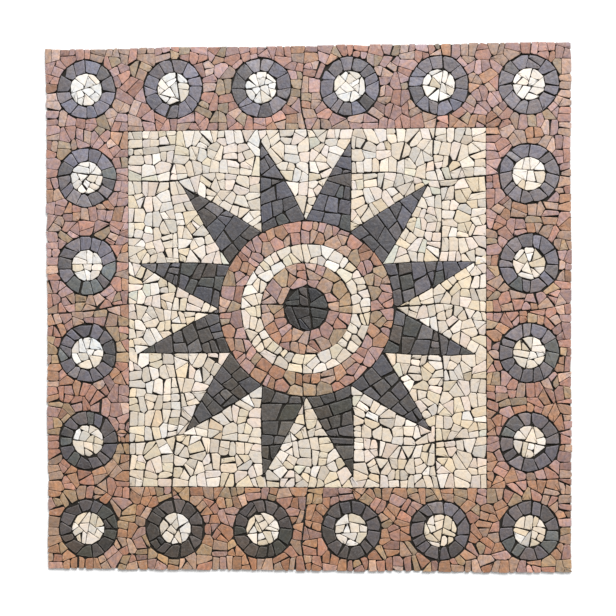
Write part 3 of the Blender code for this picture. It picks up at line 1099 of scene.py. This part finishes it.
EYE_STONE_AREA = 460 * mm * mm
EYE_SPARE = 1.01                    # a lump's corners stand out a little from its circle
LUMP_CORNERS = (12, 13, 14)
LUMP_CORNER_STRAY = 0.15            # from its even place, as a share of the way to the next
LUMP_BLOW_TURN = 0.55               # of the blows that break a round lump into shards
LUMP_REACH = 250 * mm               # no lump reaches a seam from farther away
SMALLEST_LUMP = 70 * mm * mm
CREAM_VARIES = 0.085
NO_SHADE_FADE = (1.0, 1.0, 1.0)
# More near-white stones at the top: partly other marble, partly the light's fall-off from the top painted
# in.
EYE_STONES = [
    ((0.700, 0.662, 0.612), 12, 2),  # near white
    ((0.632, 0.566, 0.476), 1, 5),   # cream
    ((0.655, 0.590, 0.520), 2, 2),   # faint pink
    ((0.585, 0.510, 0.395), 0, 3),   # straw
]

cream_finish = marble_finish(
    "cream marble", 0.12 * mm, 0.45,
    cloud_depth=0.45, fleck_colour=(0.54, 0.46, 0.36, 1.0), fleck_share=0.22,
    vein_colour=(0.50, 0.40, 0.30, 1.0), vein_share=0.40, bruise=0.35, dullness=0.48, lumps=9.0,
    drift=0.35,
)
EYE_MARBLE = (EYE_STONES, CREAM_VARIES, NO_SHADE_FADE, cream_finish, "cream_marble")


def split_at_seams(outline):
    """A lump that lies over a seam, cut along it."""
    lumps = [outline]
    for seam in seams:
        parted = []
        for lump in lumps:
            middle = area_and_middle(lump)[1]
            _, on_seam, across = seam_side(seam, middle)
            if (middle - on_seam).length > LUMP_REACH:
                parted.append(lump)
                continue
            for side in (1, -1):
                half = trimmed(lump, *seam_cut(seam, side, on_seam, across))
                if half and area_and_middle(half)[0] > SMALLEST_LUMP:
                    parted.append(half)
        lumps = parted
    return lumps


def lay_lump(group, middle, radius, stone_area):
    """Lays the shards of a round lump."""
    rng = group.rng
    count = rng.choice(LUMP_CORNERS)
    start = rng.uniform(0.0, 1.0)
    strays = [rng.uniform(-LUMP_CORNER_STRAY, LUMP_CORNER_STRAY) for _ in range(count)]
    angles = [start + (k + stray) * math.tau / count for k, stray in enumerate(strays)]
    for lump in split_at_seams([on_circle(middle, radius, angle) for angle in angles]):
        for stone in broken(lump, stone_area, rng, LUMP_BLOW_TURN):
            group.add(stone)


for number, middle in enumerate(ring_middles):
    eye = Shards(301 + number, EYE_MARBLE)
    lay_lump(eye, middle, eye_radii[number] * EYE_SPARE, EYE_STONE_AREA)
    eye.put_down(f"eye_{number + 1:02d}_stones", f"roundel_eye_{number + 1:02d}")


# The rays.
# Twelve pointed rays of dark stones, cut square and laid in rows that widen from a single pointed stone to
# two or three side by side at the sun's rim.

RAYS = 12
RAY_TIP_LENGTH = 40 * mm
RAY_TIP_VARIES = (0.85, 1.15)
RAY_ROW_DEPTH = 31 * mm
RAY_STONE_WIDTH = 34 * mm
RAY_COUNT_VARIES = (-0.35, 0.25)    # the stones in a row, fewer or more
RAY_ROW_STRAY = 0.15                # how far a joint across a ray is from its even place, in rows
RAY_STONE_STRAY = 0.2               # and a joint along it, in stones
RAY_LEAN = 0.10                     # of all the rows of one part of a ray
RAY_ROW_LEAN = 0.09                 # and of each row from those
RAY_STONE_LEAN = 0.16
RAY_BROKEN = 0.12                   # of the stones that are broken in two
RAY_JOINT_HALF = (0.35 * mm, 1.1 * mm)
RAY_SHADE_FADE = (0.47, 0.40, 0.10)
RAY_BULGE = (0.6 * mm, 4.2 * mm)    # how far a ray's sides bow outwards
RAY_BENDS = (0.33, 0.67)            # where each side bends, as a share of its length
RAY_BULGE_VARIES = (0.8, 1.1)       # from one of the two bends to the other
TIP_STRAY = 4 * mm
TIP_MARGIN = 5 * mm                 # a part of a ray that ends this near to the tip holds it
RIM_ROUND_STRAY = 3.6 * mm          # how far the sun's rim strays inwards, and the smaller circles less
CIRCLE_SHIFT = 0.02                 # which turns the waves of each circle by another amount
DARK_SUN_STONES = [
    ((0.077, 0.071, 0.079), 8, 6),  # charcoal
    ((0.083, 0.079, 0.098), 5, 4),  # slate blue
    ((0.068, 0.058, 0.055), 3, 4),  # brown grey
    ((0.061, 0.062, 0.060), 2, 2),  # green grey
    ((0.120, 0.111, 0.120), 2, 2),  # pale slate
]
RAY_MARBLE = (DARK_SUN_STONES, DARK_VARIES, RAY_SHADE_FADE, dark_finish, "dark_marble")
sun_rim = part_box("sun_outer_band")[1].x
half_turn = math.pi / RAYS
ray_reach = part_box("sun_ray_01")[1].y / math.cos(half_turn)
sun_middle = Vector((0.0, 0.0))

ray_axes = [on_circle(sun_middle, 1.0, math.pi / 2 - (2 * k + 1) * half_turn) for k in range(RAYS)]
ray_outlines = []
rng = random.Random(400)
for axis in ray_axes:
    foot = [Matrix.Rotation(turn, 2) @ axis * sun_rim for turn in (-half_turn, half_turn)]
    tip = axis * ray_reach + left_of(axis) * rng.uniform(-TIP_STRAY, TIP_STRAY)
    outline = [foot[0]]
    for start, end in ((foot[0], tip), (tip, foot[1])):
        outward = -left_of(end - start).normalized()
        bulge = rng.uniform(*RAY_BULGE)
        for share in RAY_BENDS:
            outline.append(start.lerp(end, share) + outward * bulge * rng.uniform(*RAY_BULGE_VARIES))
        outline.append(end)
    ray_outlines.append(outline)


def slices(outline, direction, lines, slants):
    """A figure cut by lines across a direction, each at its distance along it and with its slant."""
    parts, rest = [], outline
    for distance, slant in zip(lines, slants):
        if not rest:
            break
        middle = area_and_middle(rest)[1]
        point = middle + direction * (distance - middle.dot(direction))
        outward = Matrix.Rotation(slant, 2) @ direction
        parts.append(trimmed(rest, point, outward))
        rest = trimmed(rest, point, -outward)
    return [part for part in parts + [rest] if part]


def reach_along(outline, direction):
    distances = [corner.dot(direction) for corner in outline]
    return min(distances), max(distances)


def even_lines(low, high, count, stray, rng):
    """The lines that divide a length in equal parts by eye."""
    return [low + (high - low) * (k + rng.uniform(-stray, stray)) / count for k in range(1, count)]


def ray_rows(lump, axis, rng):
    """A part of a ray cut into rows across it, from the sun's rim to the tip."""
    low, high = reach_along(lump, axis)
    if high > ray_reach - TIP_MARGIN:
        high = ray_reach - RAY_TIP_LENGTH * rng.uniform(*RAY_TIP_VARIES)
    count = max(1, round((high - low) / RAY_ROW_DEPTH))
    lines = even_lines(low, high, count, RAY_ROW_STRAY, rng)
    if reach_along(lump, axis)[1] > high + TIP_MARGIN:
        lines.append(high)
    lean = rng.gauss(0.0, RAY_LEAN)
    return slices(lump, axis, lines, [lean + rng.gauss(0.0, RAY_ROW_LEAN) for _ in lines])


def row_stones(row, axis, rng):
    """A row of a ray cut into stones side by side."""
    low, high = reach_along(row, left_of(axis))
    count = max(1, round((high - low) / RAY_STONE_WIDTH + rng.uniform(*RAY_COUNT_VARIES)))
    lines = even_lines(low, high, count, RAY_STONE_STRAY, rng)
    return slices(row, left_of(axis), lines, [rng.gauss(0.0, RAY_STONE_LEAN) for _ in lines])


def sun_line(radius, outward):
    """How far out one of the sun's circles runs in a direction."""
    return round_line(radius, outward, RIM_ROUND_STRAY * radius / sun_rim, radius / CIRCLE_SHIFT)


def outside_sun(outline):
    """A stone at the rim, with the straight side that faces the sun cut back to it."""
    outward = area_and_middle(outline)[1].normalized()
    return trimmed(outline, outward * sun_line(sun_rim, outward), -outward)


for number, (outline, axis) in enumerate(zip(ray_outlines, ray_axes), 1):
    ray = Shards(400 + number, RAY_MARBLE, RAY_JOINT_HALF)
    for lump in split_at_seams(outline):
        for row in ray_rows(lump, axis, ray.rng):
            for cut_stone in row_stones(row, axis, ray.rng):
                for stone in at_times_broken(outside_sun(cut_stone), RAY_BROKEN, ray.rng):
                    ray.add(stone)
    ray.put_down(f"ray_{number:02d}_stones", f"sun_ray_{number:02d}")


# The cream field.
# The square round the sun is crazed in the same way as the border, with stones of cream marble knocked from
# split strips and glued face up. Slim pointed ones fill the notches between the rays.

# Whiter stones at the top and straw ones at the bottom: partly other marble, partly the cool light above and
# the warm light below painted in.
CREAM_STONES = [
    ((0.605, 0.528, 0.432), 8, 7),      # cream
    ((0.685, 0.625, 0.556), 5, 2.5),    # near white
    ((0.605, 0.515, 0.382), 1, 6),      # straw
    ((0.625, 0.535, 0.466), 6, 2),      # faint pink
    ((0.560, 0.536, 0.440), 0.7, 0.5),  # faint green
    ((0.540, 0.480, 0.410), 2.5, 2.5),  # pale grey
    ((0.550, 0.440, 0.315), 0.2, 0.4),  # buff
]
CREAM_MARBLE = (CREAM_STONES, CREAM_VARIES, NO_SHADE_FADE, cream_finish, "cream_marble")
TIP_PLACES_BACK = 3 * mm            # of the set places at a ray's tip from the tip itself
RAYS_WITHIN = 2.5 * BLOCK_SPACING   # a ray that is farther away cuts no stone


def cream_is_open(place):
    if max(abs(place.x), abs(place.y)) > field_half - OPEN_FROM or place.length < sun_rim + OPEN_FROM:
        return False
    return not any(inside(outline, place) for outline in ray_outlines)


def cream_cuts(place):
    cuts = square_cuts(field_half) + seam_cuts(place)
    for outline in ray_outlines:
        point = nearest_on(outline, place)
        if (point - place).length < RAYS_WITHIN:
            cuts.append(cut_against(point, place))
    return cuts


# Two blocks meet at the tip of each ray, with their joint on its axis.
tip_places = []
for axis in ray_axes:
    for way in (-1, 1):
        aside = left_of(axis) * way * BLOCK_SPACING * JOINT_ASIDE
        tip_places.append(axis * (ray_reach - TIP_PLACES_BACK) + aside)

field = Shards(12, CREAM_MARBLE)
field.lay_field(field_half, cream_is_open, cream_cuts, tip_places)
field.put_down("cream_field_stones", "cream_field")


# The sun's bands and centre.
# Bands of red, cream and red marble follow the circles, their stones fitted by eye in two uneven rows, and
# the middle is a disc of dark shards.

BAND_ROWS = 2
ROW_SWAY = 0.17                     # how far a block may lie out of its row, in widths of the band
ROW_STRAY = 0.28                    # and along the row from its even place, in lengths of a block
BAND_JOINT_HALF = (0.12 * mm, 0.55 * mm)
BANDS = [
    # the group, its node and the node inside it, its marble, a block's length and a stone's area
    ("outer_band_stones", "sun_outer_band", "sun_cream_band", RED_MARBLE, 31 * mm, 770 * mm * mm),
    ("cream_band_stones", "sun_cream_band", "sun_inner_band", CREAM_MARBLE, 32 * mm, 700 * mm * mm),
    ("inner_band_stones", "sun_inner_band", "sun_centre", RED_MARBLE, 38 * mm, 880 * mm * mm),
]
CENTRE_STONE_AREA = 760 * mm * mm
CENTRE_VARIES = 0.24
DARK_CENTRE_STONES = [
    ((0.028, 0.028, 0.025), 5, 5),  # green black
    ((0.036, 0.029, 0.026), 3, 3),  # brown black
    ((0.029, 0.028, 0.032), 2, 2),  # blue black
]
CENTRE_MARBLE = (DARK_CENTRE_STONES, CENTRE_VARIES, NO_SHADE_FADE, dark_finish, "dark_marble")


def row_places(inner, outer, length, rng):
    """Places round a band's rows, a block's length apart, and no row in step with the next."""
    places = []
    for row in range(BAND_ROWS):
        radius = between((inner, outer), (row + 0.5) / BAND_ROWS)
        count = round(math.tau * radius / length)
        start = rng.uniform(0.0, math.tau)
        for k in range(count):
            angle = start + (k + rng.uniform(-ROW_STRAY, ROW_STRAY)) * math.tau / count
            sway = (outer - inner) * rng.uniform(-ROW_SWAY, ROW_SWAY)
            places.append(on_circle(sun_middle, radius + sway, angle))
    return places


for seed, (name, node, node_inside, kind, length, stone_area) in enumerate(BANDS, 500):
    band = Shards(seed, kind, BAND_JOINT_HALF)
    inner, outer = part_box(node_inside)[1].x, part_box(node)[1].x

    def band_is_open(place):
        return inner + OPEN_FROM < place.length < outer - OPEN_FROM

    def band_cuts(place):
        outward = place.normalized()
        cuts = seam_cuts(place)
        cuts.append((outward * sun_line(outer, outward), outward))
        cuts.append((outward * sun_line(inner, outward), -outward))
        return cuts

    places = row_places(inner, outer, length, band.rng)
    blocks = settled_blocks(outer, band_is_open, band_cuts, places, [], settlings=1)
    band.lay_blocks(blocks, stone_area, band_is_open, band_cuts)
    band.put_down(name, node)

centre = Shards(503, CENTRE_MARBLE, DARK_JOINT_HALF)
centre_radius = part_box("sun_centre")[1].x * (1 - RIM_ROUND_STRAY / sun_rim / 2)
lay_lump(centre, sun_middle, centre_radius, CENTRE_STONE_AREA)
centre.put_down("sun_centre_stones", "sun_centre")


# The floor, the light and the camera.
# A plain white floor, a wide soft light from beyond the panel's top edge with a window's light to help it,
# and a camera that looks straight down from a little right of the middle.

FLOOR_REACH = 6.0
FLOOR_WHITES = ((0.90, 0.90, 0.90, 1.0), (0.93, 0.93, 0.93, 1.0))

floor_finish, tree, inputs = finish("white floor")
speckle = cloud(tree, object_place(tree), 30.0, 3.0)
wire(tree, blended(tree, speckle, *FLOOR_WHITES), inputs["Base Color"])
wire(tree, spread(tree, speckle, 0.3, 0.7, 0.75, 0.85), inputs["Roughness"])
wire(tree, raised(tree, speckle, 0.2 * mm, 0.2), inputs["Normal"])
floor_mesh = bpy.data.meshes.new("floor")
floor_mesh.from_pydata([(*corner, 0.0) for corner in square_outline(FLOOR_REACH)], [], [(0, 1, 2, 3)])
floor_mesh.materials.append(floor_finish)
floor = bpy.data.objects.new("floor", floor_mesh)
bpy.context.scene.collection.objects.link(floor)


def add_light(name, kind, place):
    """A light that faces the middle of the panel."""
    lamp = bpy.data.lights.new(name, kind)
    light = bpy.data.objects.new(name, lamp)
    light.location = place
    light.rotation_euler = (-Vector(place)).to_track_quat("-Z", "Y").to_euler()
    light.visible_camera = False
    bpy.context.scene.collection.objects.link(light)
    return lamp


key = add_light("wide soft light", "SUN", (0.9, 2.0, 2.2))
key.energy = 2.38
key.angle = math.radians(28.0)
key.color = (0.985, 0.99, 1.0)
window = add_light("window", "AREA", (0.4, 2.6, 3.4))
window.shape = "RECTANGLE"
window.size, window.size_y = 3.0, 1.6
window.energy = 78.0
window.color = (0.96, 0.98, 1.0)
world = bpy.data.worlds.new("studio")
world.use_nodes = True
world.node_tree.nodes["Background"].inputs["Color"].default_value = (1.0, 1.0, 1.0, 1.0)
world.node_tree.nodes["Background"].inputs["Strength"].default_value = 0.52
bpy.context.scene.world = world
bpy.context.scene.view_settings.view_transform = "Standard"

camera = bpy.data.objects.new("camera", bpy.data.cameras.new("camera"))
camera.data.sensor_fit = "HORIZONTAL"
camera.data.angle = math.radians(29.0)
camera.location = (0.1464, 0.0227, 2.7157)
camera.rotation_euler = (math.radians(-0.458), math.radians(3.0), math.radians(-0.201))
bpy.context.scene.collection.objects.link(camera)
bpy.context.scene.camera = camera
